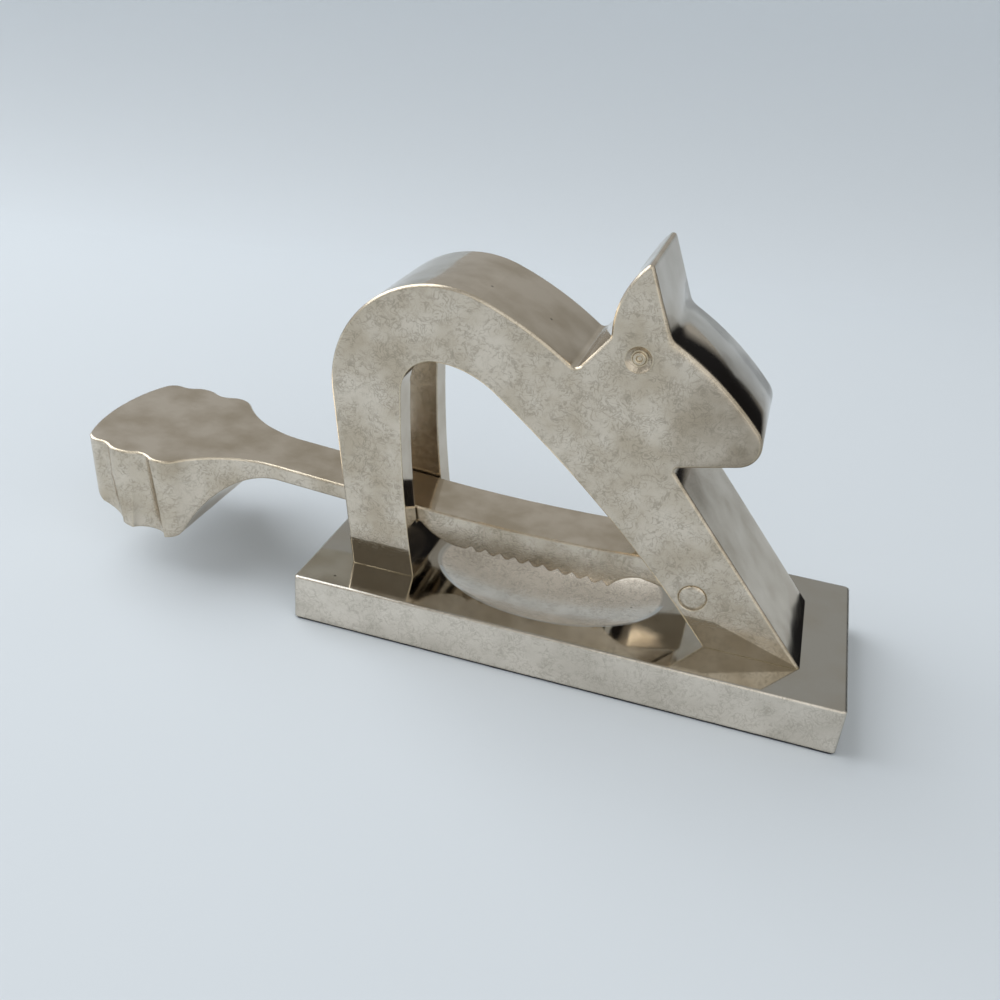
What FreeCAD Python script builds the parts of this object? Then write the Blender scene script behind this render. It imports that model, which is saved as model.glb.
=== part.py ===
import FreeCAD, Part
import math
import os
from types import SimpleNamespace

import Sketcher
from FreeCAD import Placement, Rotation, Vector

# Lever nutcracker press shaped as a squirrel: an arched animal casting stands on a dished
# base plate, and a toothed lever, whose outer end is the tail, swings on a pin in its front leg.
# X runs along the base with the head at +X, Y across it, Z up. The origin is the middle of
# the felt's underside. Heights of the casting and the lever are counted from the plate's top.

SIZES = [
    ("base_length", 170.0, "base plate along X"),
    ("base_width", 70.0, "base plate along Y"),
    ("base_thickness", 15.0, "base plate height"),
    ("base_corner_radius", 1.5, "upright corners of the plate"),
    ("base_edge_radius", 0.8, "top edge of the plate"),
    ("felt_thickness", 0.8, "felt sheet under the plate"),
    ("felt_inset", 0.4, "felt edge inside the plate's edge"),
    ("dish_x", -10.0, "middle of the nut dish"),
    ("dish_length", 76.0, "dish rim along X"),
    ("dish_width", 54.0, "dish rim along Y"),
    ("dish_depth", 6.0, "dish below the plate's top"),
    ("casting_width", 40.0, "squirrel casting along Y"),
    ("casting_edge_bevel", 0.6, "polished bevel round both flanks"),
    ("heel_x", -71.5, "rear foot, outer end"),
    ("rear_foot_length", 21.0, "rear foot along X"),
    ("back_x", -46.5, "centre of the back's round"),
    ("back_radius", 33.2, "round of the back"),
    ("back_height", 96.1, "top of the back"),
    ("loin_radius", 110.0, "flatter round from the back to the neck notch"),
    ("notch_x", -6.8, "neck notch"),
    ("notch_height", 79.0, "neck notch"),
    ("notch_radius", 2.0, "round in the neck notch"),
    ("nape_x", 1.7, "corner below the ear"),
    ("nape_rise", 11.2, "corner below the ear, above the neck notch"),
    ("nape_radius", 2.0, "round in the corner below the ear"),
    ("ear_x", 9.8, "ear tip"),
    ("ear_rise", 21.7, "ear tip before it is rounded, above the corner below the ear"),
    ("ear_tip_radius", 1.2, "round of the ear tip"),
    ("ear_radius", 26.0, "round of the ear's back edge"),
    ("brow_x", 21.9, "centre of the hollow between ear and forehead"),
    ("brow_height", 95.4, "centre of the hollow between ear and forehead"),
    ("brow_radius", 5.0, "hollow between ear and forehead"),
    ("forehead_radius", 95.0, "round of the forehead"),
    ("nose_x", 39.8, "centre of the nose round"),
    ("nose_height", 66.4, "centre of the nose round"),
    ("nose_radius", 6.8, "nose round"),
    ("throat_x", 23.6, "corner under the muzzle"),
    ("throat_height", 55.7, "corner under the muzzle"),
    ("throat_radius", 1.2, "round in the corner under the muzzle"),
    ("toe_x", 70.9, "front foot, outer end"),
    ("front_foot_length", 28.5, "front foot along X"),
    ("leg_curve_radius", 400.0, "slow curve of the inner faces of both legs"),
    ("arch_x", -47.0, "highest point of the arch opening"),
    ("arch_height", 73.7, "highest point of the arch opening"),
    ("arch_front_radius", 30.0, "arch opening ahead of its highest point"),
    ("arch_rear_radius", 10.6, "arch opening behind its highest point"),
    ("eye_x", 10.0, "eye"),
    ("eye_height", 85.4, "eye"),
    ("eye_radius", 3.8, "eye bowl at the flank"),
    ("eye_ring_outer", 2.1, "foot of the raised ring in the eye"),
    ("eye_ring_radius", 1.7, "raised ring in the eye, outside"),
    ("eye_ring_inner", 1.0, "raised ring in the eye, inside"),
    ("eye_pit_radius", 0.7, "pit in the middle of the eye"),
    ("eye_depth", 1.2, "eye bowl"),
    ("eye_ring_depth", 0.5, "raised ring under the flank"),
    ("pivot_x", 36.4, "lever pin"),
    ("pivot_height", 15.8, "lever pin above the plate's top"),
    ("pin_radius", 4.0, "lever pin"),
    ("pin_stand_out", 0.3, "bevelled ends of the lever pin outside the flanks"),
    ("pin_face_radius", 3.1, "flat end faces of the lever pin"),
    ("pin_rim", 0.35, "bevel round the pin in both flanks"),
    ("pin_clearance", 0.05, "lever bore round the pin"),
    ("lift_angle", 28.0, "lever's full lift in degrees"),
    ("lever_width", 22.0, "lever bar and jaw along Y"),
    ("side_clearance", 1.0, "slot beside the lever, each side"),
    ("swing_clearance", 1.2, "slot above the raised lever"),
    ("pocket_reach", 40.0, "front pocket behind the pin, into the arch"),
    ("pocket_roof_ease", 3.0, "pocket roof under the lift angle, in degrees"),
    ("rest_clearance", 0.2, "gap between the lever and its saddle"),
    ("lever_edge_bevel", 0.4, "top edges of the bar and the tail"),
    ("bar_x", -52.0, "inner end of the straight bar"),
    ("bar_height", 20.3, "bar's top at its inner end"),
    ("bar_thickness", 4.9, "bar at its inner end"),
    ("bar_angle", 3.5, "bar's top against the base in degrees"),
    ("boss_radius", 6.2, "lever eye round the pin"),
    ("relief_x", 19.0, "end of the relief ahead of the teeth"),
    ("relief_height", 12.9, "end of the relief ahead of the teeth"),
    ("relief_radius", 12.0, "relief ahead of the teeth"),
    ("teeth_front_x", 10.4, "front end of the toothed edge"),
    ("teeth_front_height", 7.6, "front end of the toothed edge"),
    ("teeth_length", 50.0, "toothed edge along X"),
    ("teeth_angle", 1.8, "toothed edge against the base in degrees"),
    ("tooth_pitch", 4.75, "distance between teeth"),
    ("tooth_depth", 1.6, "grooves between teeth"),
    ("tooth_groove", 3.6, "groove mouth between teeth"),
    ("jaw_heel_radius", 21.0, "rounded rear end of the jaw"),
    ("tail_x", -168.2, "far end of the tail's top"),
    ("tail_lean", 3.0, "lean of the tail's walls in degrees"),
    ("tail_end_radius", 68.0, "round of the tail's end seen from above"),
    ("first_lobe_half", 25.4, "half width at the lobe nearest the end"),
    ("first_lobe_radius", 5.0, "round of the lobe nearest the end"),
    ("second_lobe_x", -150.3, "middle lobe"),
    ("second_lobe_half", 27.9, "half width at the middle lobe"),
    ("second_lobe_radius", 8.0, "round of the middle lobe"),
    ("third_lobe_x", -137.0, "lobe nearest the bar"),
    ("third_lobe_half", 27.9, "half width at the lobe nearest the bar"),
    ("third_lobe_radius", 6.5, "round of the lobe nearest the bar"),
    ("valley_radius", 5.0, "hollows between the lobes"),
    ("neck_x", -104.0, "where the bar begins to widen"),
    ("haunch_x", -103.2, "centre of the hollow under the tail"),
    ("haunch_radius", 28.6, "hollow under the tail"),
    ("haunch_foot_x", -130.5, "lower end of the hollow under the tail"),
    ("haunch_foot_radius", 3.0, "round at the lower end of the hollow"),
    ("tail_drop", 1.5, "lower end of the hollow under the plate's top"),
    ("tail_tip_height", 18.9, "underside at the tail's end, above the plate's top"),
    ("tail_belly_radius", 33.0, "round of the tail's underside"),
    ("flute_half", 30.8, "axes of the flutes from the middle"),
    ("inner_flute_x", -143.0, "flute between the second and third lobes"),
    ("outer_flute_x", -158.0, "flute between the first and second lobes"),
    ("flute_top_radius", 4.6, "flutes at the tail's top"),
    ("flute_bottom_radius", 6.6, "flutes at the tail's underside"),
    ("screw_radius", 2.5, "base screws"),
    ("screw_head_radius", 4.8, "base screw heads"),
    ("screw_head_height", 2.5, "base screw heads"),
    ("screw_slot_width", 1.2, "driver slot"),
    ("screw_slot_depth", 1.1, "driver slot"),
    ("screw_grip", 10.0, "screw above the plate's top"),
    ("screw_clearance", 0.05, "holes round the screws"),
    ("thread_depth", 1.5, "screw holes deeper than the screws"),
    ("screw_spacing", 20.0, "pair of screws along Y"),
    ("rear_screw_x", -61.0, "screws in the rear foot"),
    ("front_screw_x", 57.0, "screws in the front foot"),
    ("cut_margin", 2.0, "how far a cut runs past the material"),
]


class Size:
    """A dimension that carries both its value and the sheet formula that it comes from."""

    def __init__(self, value, text):
        self.value = value
        self.text = text

    def __add__(self, other):
        other = as_size(other)
        return Size(self.value + other.value, f"({self.text} + {other.text})")

    def __sub__(self, other):
        other = as_size(other)
        return Size(self.value - other.value, f"({self.text} - {other.text})")

    def __mul__(self, other):
        other = as_size(other)
        return Size(self.value * other.value, f"({self.text} * {other.text})")

    def __truediv__(self, other):
        other = as_size(other)
        return Size(self.value / other.value, f"({self.text} / {other.text})")

    def __neg__(self):
        return Size(-self.value, f"(0 - {self.text})")

    def sine(self):
        return Size(math.sin(math.radians(self.value)), f"sin({self.text} * 1deg)")

    def cosine(self):
        return Size(math.cos(math.radians(self.value)), f"cos({self.text} * 1deg)")

    def tangent(self):
        return Size(math.tan(math.radians(self.value)), f"tan({self.text} * 1deg)")


def as_size(value):
    """Return a plain number as a Size; a Size comes back as it is."""
    if isinstance(value, Size):
        return value
    return Size(float(value), f"({float(value)})")


def fill_sheet(doc):
    """Write every driving dimension into the sheet and return them by name."""
    sheet = doc.addObject("Spreadsheet::Sheet", "Sizes")
    for row, (alias, value, note) in enumerate(SIZES, start=1):
        sheet.set(f"A{row}", alias)
        sheet.set(f"B{row}", str(value))
        sheet.setAlias(f"B{row}", alias)
        sheet.set(f"C{row}", note)
    doc.recompute()
    named = {alias: Size(value, f"Sizes.{alias}") for alias, value, note in SIZES}
    return SimpleNamespace(**named)


def bind(feature, name, size):
    """Tie one property of a feature to its sheet formula."""
    feature.setExpression(name, as_size(size).text)


def new_body(doc, name):
    """Make the body of one sub-part."""
    body = doc.addObject("PartDesign::Body", name)
    body.Label = name
    return body


def origin_plane(body, role):
    """Return one of the body's own origin planes."""
    return next(item for item in body.Origin.OriginFeatures if item.Role == role)


def attach(feature, body, role, shift=(0, 0, 0), turn=None, axis=(0, 0, 1)):
    """Lay a sketch or primitive on an origin plane, with a shift and a turn about an axis."""
    feature.AttachmentSupport = [(origin_plane(body, role), "")]
    feature.MapMode = "FlatFace"
    sizes = [as_size(part) for part in shift]
    angle = as_size(0 if turn is None else turn)
    feature.AttachmentOffset = Placement(
        Vector(*[part.value for part in sizes]), Rotation(Vector(*axis), angle.value)
    )
    for axis, part in zip("xyz", sizes):
        bind(feature, f"AttachmentOffset.Base.{axis}", part)
    if turn is not None:
        bind(feature, "AttachmentOffset.Rotation.Angle", angle)


class Outline:
    """A closed sketch of lines and arcs, dimensioned from the sheet.

    Each stretch ends at a point. A fixed point is dimensioned from the sketch's origin; a free
    one is only a starting place, and tangency with the next stretch settles it.
    """

    def __init__(
        self, body, name, role="XZ_Plane", shift=(0, 0, 0), turn=None, axis=(0, 0, 1)
    ):
        self.sketch = body.newObject("Sketcher::SketchObject", name)
        attach(self.sketch, body, role, shift, turn, axis)
        self.stretches = []
        self.first = None

    def start(self, x, y):
        self.first = (as_size(x), as_size(y))
        return self

    def line(self, x, y, fixed=True, smooth=False):
        end = (as_size(x), as_size(y))
        self.stretches.append(SimpleNamespace(end=end, fixed=fixed, smooth=smooth, radius=None))
        return self

    def arc(self, x, y, radius, left, centre=(None, None), fixed=True, smooth=False, sized=True):
        """Add an arc; left says whether it bulges to the left of the way it is drawn.

        What of its centre is given is dimensioned. Where sized is false, tangency with both
        neighbours settles the radius too.
        """
        self.stretches.append(
            SimpleNamespace(
                end=(as_size(x), as_size(y)), fixed=fixed, smooth=smooth, radius=as_size(radius),
                left=left, centre=centre, sized=sized,
            )
        )
        return self

    def close(self):
        """Draw the stretches, join them and dimension them."""
        begin = self.first
        ends = []
        for stretch in self.stretches:
            ends.append(self.draw(begin, stretch))
            begin = stretch.end
        count = len(self.stretches)
        for index, stretch in enumerate(self.stretches):
            geometry, _, tail = ends[index]
            following, head, _ = ends[(index + 1) % count]
            join = "Tangent" if stretch.smooth else "Coincident"
            self.sketch.addConstraint(Sketcher.Constraint(join, geometry, tail, following, head))
            if stretch.fixed:
                self.place(geometry, tail, stretch.end, f"end{geometry}")
            if stretch.radius is not None:
                if stretch.sized:
                    self.dimension("Radius", (geometry,), stretch.radius, f"radius{geometry}")
                self.place(geometry, 3, stretch.centre, f"centre{geometry}")
        return self.sketch

    def draw(self, begin, stretch):
        """Draw one stretch; return its geometry and which of its ends is first and last."""
        start = Vector(begin[0].value, begin[1].value, 0)
        end = Vector(stretch.end[0].value, stretch.end[1].value, 0)
        if stretch.radius is None:
            return self.sketch.addGeometry(Part.LineSegment(start, end), False), 1, 2
        radius = stretch.radius.value
        chord = end - start
        normal = Vector(-chord.y, chord.x, 0).normalize()
        height = math.sqrt(max(radius**2 - chord.Length**2 / 4, 0))
        middle = (start + end) / 2 + normal * (-height if stretch.left else height)
        if None not in stretch.centre:
            middle = Vector(*[as_size(part).value for part in stretch.centre], 0)
        low, high = (end, start) if stretch.left else (start, end)
        angles = [math.atan2(point.y - middle.y, point.x - middle.x) for point in (low, high)]
        circle = Part.Circle(middle, Vector(0, 0, 1), radius)
        arc = Part.ArcOfCircle(circle, angles[0], angles[1])
        geometry = self.sketch.addGeometry(arc, False)
        return (geometry, 2, 1) if stretch.left else (geometry, 1, 2)

    def circle(self, x, y, radius, name):
        """Add a whole circle."""
        centre = (as_size(x), as_size(y))
        size = as_size(radius)
        middle = Vector(centre[0].value, centre[1].value, 0)
        geometry = self.sketch.addGeometry(Part.Circle(middle, Vector(0, 0, 1), size.value), False)
        self.place(geometry, 3, centre, f"{name}_at")
        self.dimension("Radius", (geometry,), size, f"{name}_radius")
        return self

    def place(self, geometry, point, position, name):
        """Dimension a point from the sketch's origin, where its coordinates are given."""
        for kind, letter, size in zip(("DistanceX", "DistanceY"), "xy", position):
            if size is not None:
                places = (-1, 1, geometry, point)
                self.dimension(kind, places, as_size(size), f"{name}_{letter}")

    def dimension(self, kind, places, size, name):
        index = self.sketch.addConstraint(Sketcher.Constraint(kind, *places, size.value))
        self.sketch.renameConstraint(index, name)
        bind(self.sketch, f"Constraints.{name}", size)


def rectangle(outline, x_low, y_low, x_high, y_high):
    """Draw a closed rectangle in a sketch that may hold other outlines."""
    outline.start(x_low, y_low)
    outline.line(x_high, y_low).line(x_high, y_high).line(x_low, y_high).line(x_low, y_low)
    sketch = outline.close()
    outline.stretches = []
    return sketch


def pad(body, name, sketch, length, both_ways=False):
    """Raise a sketch into solid material."""
    feature = body.newObject("PartDesign::Pad", name)
    feature.Profile = sketch
    feature.Midplane = both_ways
    bind(feature, "Length", length)
    return feature


def pocket(body, name, sketch, length=None, both_ways=False, upward=False):
    """Cut a sketch out of the body, through all of it where no length is given."""
    feature = body.newObject("PartDesign::Pocket", name)
    feature.Profile = sketch
    feature.Midplane = both_ways
    feature.Reversed = upward
    if length is None:
        feature.Type = "ThroughAll"
    else:
        bind(feature, "Length", length)
    return feature


def edge_names(shape, wanted):
    """Name the edges of a shape that a test picks."""
    return [f"Edge{index}" for index, edge in enumerate(shape.Edges, start=1) if wanted(edge)]


def fillet(body, name, base, radius, wanted):
    """Round the edges of a feature that a test picks."""
    body.Document.recompute()
    feature = body.newObject("PartDesign::Fillet", name)
    feature.Base = (base, edge_names(base.Shape, wanted))
    bind(feature, "Radius", radius)
    return feature


def bevel(body, name, base, width, wanted):
    """Bevel the edges of a feature that a test picks."""
    body.Document.recompute()
    feature = body.newObject("PartDesign::Chamfer", name)
    feature.Base = (base, edge_names(base.Shape, wanted))
    bind(feature, "Size", width)
    return feature


def runs_along_y(edge, x, z):
    """Tell whether an edge is the ridge along Y that passes a point of the side view."""
    ends = [vertex.Point for vertex in edge.Vertexes]
    return len(ends) == 2 and all(
        abs(point.x - x.value) < 0.01 and abs(point.z - z.value) < 0.01 for point in ends
    )


def mirror(body, name, originals, role):
    """Repeat features on the other side of an origin plane."""
    feature = body.newObject("PartDesign::Mirrored", name)
    feature.Originals = originals
    feature.MirrorPlane = (origin_plane(body, role), [""])
    body.Tip = feature
    return feature


def screw_places(size):
    """List the four screw positions, a pair in each foot."""
    half = size.screw_spacing / 2
    return [(x, y) for x in (size.rear_screw_x, size.front_screw_x) for y in (-half, half)]


def sagitta_radius(chord, depth):
    """Radius of the arc that spans a chord and is this deep in its middle."""
    return (chord * chord / 4 + depth * depth) / (depth * 2)


def make_felt(doc, size):
    """Cut felt sheet that the plate rests on."""
    body = new_body(doc, "felt_pad")
    half_x = size.base_length / 2 - size.felt_inset
    half_y = size.base_width / 2 - size.felt_inset
    sketch = rectangle(Outline(body, "Felt_Sheet", "XY_Plane"), -half_x, -half_y, half_x, half_y)
    sheet = pad(body, "Felt", sketch, size.felt_thickness)
    fillet(
        body, "Felt_Corners", sheet, size.base_corner_radius,
        lambda edge: abs(edge.tangentAt(edge.FirstParameter).z) > 0.99,
    )
    return body


def make_base(doc, size):
    """Base plate with its nut dish and countersunk screw holes."""
    body = new_body(doc, "base_plate")
    bind(body, "Placement.Base.z", size.felt_thickness)
    half_x = size.base_length / 2
    half_y = size.base_width / 2
    sketch = rectangle(Outline(body, "Plate_Outline", "XY_Plane"), -half_x, -half_y, half_x, half_y)
    plate = pad(body, "Plate", sketch, size.base_thickness)
    corners = fillet(
        body, "Plate_Corners", plate, size.base_corner_radius,
        lambda edge: abs(edge.tangentAt(edge.FirstParameter).z) > 0.99,
    )
    fillet(
        body, "Plate_Top_Edge", corners, size.base_edge_radius,
        lambda edge: abs(edge.CenterOfMass.z - size.base_thickness.value) < 0.01,
    )
    turn_radius = sagitta_radius(size.dish_width, size.dish_depth)
    arc_radius = sagitta_radius(size.dish_length, size.dish_depth)
    axis_height = size.base_thickness - size.dish_depth + turn_radius
    half_dish = size.dish_length / 2
    section = Outline(body, "Dish_Section", "XZ_Plane", (size.dish_x, axis_height, 0))
    rim = size.base_thickness - axis_height
    section.start(-half_dish, rim)
    section.arc(half_dish, rim, arc_radius, left=False)
    section.line(-half_dish, rim)
    groove(body, "Dish", section.close(), "H_Axis")
    holes = Outline(body, "Screw_Holes", "XY_Plane")
    for index, (x, y) in enumerate(screw_places(size)):
        holes.circle(x, y, size.screw_radius + size.screw_clearance, f"hole{index}")
    pocket(body, "Screw_Clearance", holes.sketch, size.base_thickness, upward=True)
    for index, (x, y) in enumerate(screw_places(size)):
        sink = body.newObject("PartDesign::SubtractiveCone", f"Countersink{index}")
        attach(sink, body, "XY_Plane", (x, y, 0))
        bind(sink, "Radius1", size.screw_head_radius)
        bind(sink, "Radius2", size.screw_radius)
        bind(sink, "Height", size.screw_head_height)
    return body


def nape_height(size):
    """Height of the corner below the ear."""
    return size.notch_height + size.nape_rise


def ear_height(size):
    """Height of the ear's tip before it is rounded."""
    return nape_height(size) + size.ear_rise


def draw_squirrel(body, size):
    """Side view of the casting, from heel over back, ear and muzzle to toe."""
    outline = Outline(body, "Side_View")
    heel = (size.heel_x, as_size(0))
    back = (size.back_x, size.back_height - size.back_radius)
    outline.start(*heel)
    outline.line(-78.9, 56.0, fixed=False, smooth=True)
    outline.arc(-36.5, 94.5, size.back_radius, left=True, centre=back, fixed=False, smooth=True)
    outline.arc(size.notch_x, size.notch_height, size.loin_radius, left=True)
    outline.line(size.nape_x, nape_height(size))
    outline.arc(size.ear_x, ear_height(size), size.ear_radius, left=True)
    outline.line(17.2, 93.8, fixed=False, smooth=True)
    outline.arc(
        19.5, 91.0, size.brow_radius, left=False,
        centre=(size.brow_x, size.brow_height), fixed=False, smooth=True,
    )
    outline.arc(44.9, 70.8, size.forehead_radius, left=True, fixed=False, smooth=True)
    outline.arc(
        41.5, 59.8, size.nose_radius, left=True,
        centre=(size.nose_x, size.nose_height), fixed=False, smooth=True,
    )
    outline.line(size.throat_x, size.throat_height)
    outline.line(size.toe_x, 0)
    outline.line(*heel)
    return outline.close()


def draw_arch(body, size):
    """Side view of the arch opening between the two legs."""
    outline = Outline(body, "Arch_View")
    front = (size.toe_x - size.front_foot_length, as_size(0))
    outline.start(*front)
    outline.arc(-29.0, 67.8, size.leg_curve_radius, left=False, fixed=False, smooth=True)
    outline.arc(
        size.arch_x, size.arch_height, size.arch_front_radius, left=False,
        centre=(size.arch_x, None), smooth=True,
    )
    outline.arc(-57.5, 62.0, size.arch_rear_radius, left=False, fixed=False, smooth=True)
    outline.arc(size.heel_x + size.rear_foot_length, 0, size.leg_curve_radius, left=False)
    outline.line(*front)
    return outline.close()


def draw_rear_slot(body, size):
    """Side view of the slot through the rear leg, from the saddle up to the raised lever."""
    inner_x = size.arch_x
    outer_x = size.back_x - size.back_radius - size.cut_margin
    saddle_slope = underside_slope(size)
    saddle = size.bar_height - size.bar_thickness - size.rest_clearance
    drop = size.pivot_height - size.bar_height + bar_slope(size) * (size.pivot_x - size.bar_x)
    raised = (size.lift_angle + size.bar_angle).tangent()
    roof = size.pivot_height - drop + size.swing_clearance

    def floor(x):
        return saddle + saddle_slope * (size.bar_x - x)

    def ceiling(x):
        return roof + raised * (size.pivot_x - x)

    outline = Outline(body, "Rear_Slot_View")
    outline.start(inner_x, floor(inner_x))
    outline.line(inner_x, ceiling(inner_x)).line(outer_x, ceiling(outer_x))
    outline.line(outer_x, floor(outer_x)).line(inner_x, floor(inner_x))
    return outline.close()


def draw_front_pocket(body, size):
    """Side view of the pocket that holds the lever's eye, open to the arch."""
    radius = size.boss_radius + size.swing_clearance
    roof_angle = size.lift_angle - size.pocket_roof_ease
    top_x = size.pivot_x + radius * roof_angle.sine()
    top_height = size.pivot_height + radius * roof_angle.cosine()
    low = size.pivot_height - radius
    mouth_x = size.pivot_x - size.pocket_reach
    outline = Outline(body, "Front_Pocket_View")
    outline.start(size.pivot_x, low)
    outline.line(size.pivot_x - radius * 2, low)
    outline.line(mouth_x, top_height + roof_angle.tangent() * (top_x - mouth_x))
    outline.line(top_x, top_height)
    outline.arc(size.pivot_x, low, radius, left=True)
    return outline.close()


def make_squirrel(doc, size):
    """Arched casting: slotted rear leg, pocketed front leg, head with ear, eyes and muzzle."""
    body = new_body(doc, "squirrel_frame")
    bind(body, "Placement.Base.z", size.felt_thickness + size.base_thickness)
    half = size.casting_width / 2
    slot_width = size.lever_width + size.side_clearance * 2
    casting = pad(body, "Casting", draw_squirrel(body, size), size.casting_width, both_ways=True)
    previous = casting
    ridges = [
        ("Notch_Round", size.notch_x, size.notch_height, size.notch_radius),
        ("Nape_Round", size.nape_x, nape_height(size), size.nape_radius),
        ("Ear_Tip_Round", size.ear_x, ear_height(size), size.ear_tip_radius),
        ("Throat_Round", size.throat_x, size.throat_height, size.throat_radius),
    ]
    for name, x, z, radius in ridges:
        previous = fillet(
            body, name, previous, radius, lambda edge, x=x, z=z: runs_along_y(edge, x, z)
        )
    bevel(
        body, "Flank_Edges", previous, size.casting_edge_bevel,
        lambda edge: abs(abs(edge.CenterOfMass.y) - half.value) < 0.01 and edge.CenterOfMass.z > 0.01,
    )
    pocket(body, "Arch_Opening", draw_arch(body, size), size.casting_width * 2, both_ways=True)
    pocket(body, "Rear_Slot", draw_rear_slot(body, size), slot_width, both_ways=True)
    pocket(body, "Front_Pocket", draw_front_pocket(body, size), slot_width, both_ways=True)
    bore = Outline(body, "Pin_Bore_View").circle(
        size.pivot_x, size.pivot_height, size.pin_radius, "bore"
    )
    pocket(body, "Pin_Bore", bore.sketch, size.casting_width * 2, both_ways=True)
    rim = size.pin_radius + size.pin_rim
    rim_view = Outline(
        body, "Pin_Rim_View", "XY_Plane", (size.pivot_x, 0, size.pivot_height)
    )
    outside = -half - size.cut_margin
    rim_view.start(0, outside).line(rim, outside).line(rim, -half)
    rim_view.line(size.pin_radius, -half + size.pin_rim).line(0, -half + size.pin_rim)
    rim_view.line(0, outside)
    rim_cut = groove(body, "Pin_Rim", rim_view.close())
    eye_cut = groove(body, "Eye", draw_eye(body, size, half))
    mirror(body, "Far_Flank", [rim_cut, eye_cut], "XZ_Plane")
    holes = Outline(body, "Thread_Holes", "XY_Plane")
    for index, (x, y) in enumerate(screw_places(size)):
        holes.circle(x, y, size.screw_radius + size.screw_clearance, f"hole{index}")
    pocket(body, "Screw_Threads", holes.sketch, size.screw_grip + size.thread_depth, upward=True)
    return body


def draw_eye(body, size, half):
    """Half section of the eye: a round bowl with a raised ring and a pit in its middle."""
    face = -half
    outside = face - size.cut_margin
    deep = face + size.eye_depth
    shallow = face + size.eye_ring_depth
    outline = Outline(body, "Eye_View", "XY_Plane", (size.eye_x, 0, size.eye_height))
    outline.start(0, outside).line(size.eye_radius, outside).line(size.eye_radius, face)
    outline.arc(size.eye_ring_outer, deep, 5.2, left=False, centre=(0, None), sized=False)
    outline.line(size.eye_ring_radius, shallow).line(size.eye_ring_inner, shallow)
    outline.line(size.eye_pit_radius, deep).line(0, deep).line(0, outside)
    return outline.close()


def groove(body, name, sketch, axis="V_Axis"):
    """Turn a half section about one of its sketch's axes and cut it away."""
    feature = body.newObject("PartDesign::Groove", name)
    feature.Profile = sketch
    feature.ReferenceAxis = (sketch, [axis])
    feature.Angle = 360
    return feature


def bar_slope(size):
    """Rise of the bar's top towards the tail, per length."""
    return size.bar_angle.tangent()


def underside_slope(size):
    """Rise of the bar's underside towards the tail, per length."""
    top = size.haunch_radius + haunch_height(size)
    return (top - (size.bar_height - size.bar_thickness)) / (size.bar_x - size.haunch_x)


def haunch_height(size):
    """Height of the centre of the hollow under the tail."""
    reach = size.bar_x - size.haunch_x
    top = size.bar_height + bar_slope(size) * reach - size.bar_thickness
    return top - size.haunch_radius


def draw_lever_side(body, size):
    """Side view of the lever: tail, thin bar, toothed jaw and the eye for the pin."""
    outline = Outline(body, "Side_View")
    end_x = size.tail_x - size.cut_margin
    top = size.bar_height + bar_slope(size) * (size.bar_x - end_x)
    underside = size.bar_height - size.bar_thickness
    teeth_rear_x = size.teeth_front_x - size.teeth_length
    teeth_rear_height = size.teeth_front_height + size.teeth_angle.tangent() * size.teeth_length
    haunch = (size.haunch_x, haunch_height(size))
    outline.start(end_x, top)
    outline.line(size.bar_x, size.bar_height, smooth=True)
    outline.arc(35.9, 22.0, 535, left=False, fixed=False, smooth=True, sized=False)
    outline.arc(
        size.pivot_x - 1.2, size.pivot_height - size.boss_radius + 0.1, size.boss_radius, left=True,
        centre=(size.pivot_x, size.pivot_height), fixed=False, smooth=True,
    )
    outline.line(size.relief_x, size.relief_height)
    outline.arc(size.teeth_front_x, size.teeth_front_height, size.relief_radius, left=False)
    outline.line(teeth_rear_x, teeth_rear_height)
    outline.arc(size.bar_x, underside, size.jaw_heel_radius, left=True)
    outline.line(size.haunch_x, haunch[1] + size.haunch_radius)
    outline.arc(size.haunch_foot_x, -size.tail_drop, size.haunch_radius, left=False)
    outline.arc(end_x, size.tail_tip_height, size.tail_belly_radius, left=True)
    outline.line(end_x, top)
    return outline.close()


def tail_top(size):
    """Height of the top at the tail's end."""
    return size.bar_height + bar_slope(size) * (size.bar_x - size.tail_x)


def frame_half(size):
    """Half width of the frame round the lever's plan, outside the tail's lobes."""
    return size.third_lobe_half + size.valley_radius


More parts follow.
